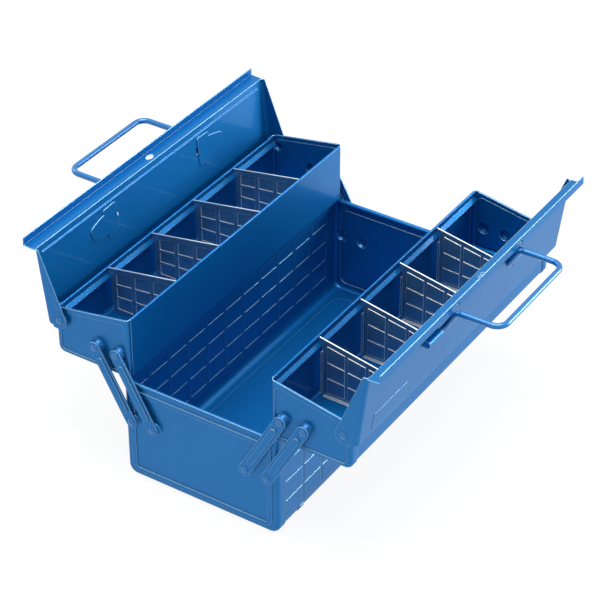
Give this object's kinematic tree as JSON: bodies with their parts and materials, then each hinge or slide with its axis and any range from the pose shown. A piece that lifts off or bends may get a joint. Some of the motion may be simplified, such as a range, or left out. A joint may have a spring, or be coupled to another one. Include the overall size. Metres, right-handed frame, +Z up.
{
  "type": "two-way cantilever tool box",
  "caption": "Pressed-steel two-way cantilever tool box, open: trays with dividers on riveted links, half lids with bail handles.",
  "frame": {"origin": "on the ground below the middle of the main box", "axes": "+X along the box's length, +Y across it towards the rear tray, +Z up"},
  "size_m": [0.4894, 0.6164, 0.2965],
  "materials": {
    "blue_enamel": "metallic gloss enamel",
    "plated_steel": "bright zinc plate"
  },
  "bodies": {
    "box": {"box_trough": "blue_enamel", "box_end_near": "blue_enamel", "box_end_far": "blue_enamel", "box_rivets": "blue_enamel"},
    "front_outer_links": {"front_outer_link_near": "blue_enamel", "front_outer_link_far": "blue_enamel"},
    "front_inner_links": {"front_inner_link_near": "blue_enamel", "front_inner_link_far": "blue_enamel"},
    "front_tray": {"front_tray_trough": "blue_enamel", "front_tray_end_near": "blue_enamel", "front_tray_end_far": "blue_enamel", "front_link_rivets": "blue_enamel", "front_hinge_rivets": "blue_enamel", "front_divider_1": "plated_steel", "front_divider_2": "plated_steel", "front_divider_3": "plated_steel", "front_divider_4": "plated_steel"},
    "front_lid": {"front_lid": "blue_enamel", "front_lid_plate_near": "blue_enamel", "front_lid_plate_far": "blue_enamel"},
    "front_handle": {"front_handle": "blue_enamel"},
    "rear_outer_links": {"rear_outer_link_near": "blue_enamel", "rear_outer_link_far": "blue_enamel"},
    "rear_inner_links": {"rear_inner_link_near": "blue_enamel", "rear_inner_link_far": "blue_enamel"},
    "rear_tray": {"rear_tray_trough": "blue_enamel", "rear_tray_end_near": "blue_enamel", "rear_tray_end_far": "blue_enamel", "rear_link_rivets": "blue_enamel", "rear_hinge_rivets": "blue_enamel", "rear_divider_1": "plated_steel", "rear_divider_2": "plated_steel", "rear_divider_3": "plated_steel", "rear_divider_4": "plated_steel"},
    "rear_lid": {"rear_lid": "blue_enamel", "rear_lid_plate_near": "blue_enamel", "rear_lid_plate_far": "blue_enamel"},
    "rear_handle": {"rear_handle": "blue_enamel"}
  },
  "joints": [
    {"name": "front_outer_link_swing", "type": "hinge", "parent": "box", "child": "front_outer_links", "pos_m": [0, -0.0975, 0.0855], "axis": [-1, 0, 0], "range_deg": [0, 56.95]},
    {"name": "front_inner_link_swing", "type": "hinge", "parent": "box", "child": "front_inner_links", "pos_m": [0, -0.0665, 0.0855], "axis": [-1, 0, 0], "range_deg": [0, 56.95]},
    {"name": "front_tray_level", "type": "hinge", "parent": "front_outer_links", "child": "front_tray", "pos_m": [0, -0.14675, 0.1763], "axis": [-1, 0, 0], "range_deg": [-56.95, 0]},
    {"name": "front_lid_hinge", "type": "hinge", "parent": "front_tray", "child": "front_lid", "pos_m": [0, -0.1993, 0.1938], "axis": [-1, 0, 0], "range_deg": [0, 86.7]},
    {"name": "front_handle_pivot", "type": "hinge", "parent": "front_lid", "child": "front_handle", "pos_m": [0, -0.23091, 0.25335], "axis": [-1, 0, 0], "range_deg": [-117, 3]},
    {"name": "rear_outer_link_swing", "type": "hinge", "parent": "box", "child": "rear_outer_links", "pos_m": [0, 0.0975, 0.0855], "axis": [1, 0, 0], "range_deg": [0, 56.95]},
    {"name": "rear_inner_link_swing", "type": "hinge", "parent": "box", "child": "rear_inner_links", "pos_m": [0, 0.0665, 0.0855], "axis": [1, 0, 0], "range_deg": [0, 56.95]},
    {"name": "rear_tray_level", "type": "hinge", "parent": "rear_outer_links", "child": "rear_tray", "pos_m": [0, 0.14675, 0.1763], "axis": [1, 0, 0], "range_deg": [-56.95, 0]},
    {"name": "rear_lid_hinge", "type": "hinge", "parent": "rear_tray", "child": "rear_lid", "pos_m": [0, 0.1993, 0.1938], "axis": [1, 0, 0], "range_deg": [0, 86.7]},
    {"name": "rear_handle_pivot", "type": "hinge", "parent": "rear_lid", "child": "rear_handle", "pos_m": [0, 0.23091, 0.25335], "axis": [1, 0, 0], "range_deg": [-117, 3]}
  ],
  "couplings": [
    {"joint": "front_inner_link_swing", "follows": "front_outer_link_swing", "ratio": 1},
    {"joint": "front_tray_level", "follows": "front_outer_link_swing", "ratio": -1},
    {"joint": "rear_inner_link_swing", "follows": "rear_outer_link_swing", "ratio": 1},
    {"joint": "rear_tray_level", "follows": "rear_outer_link_swing", "ratio": -1}
  ]
}
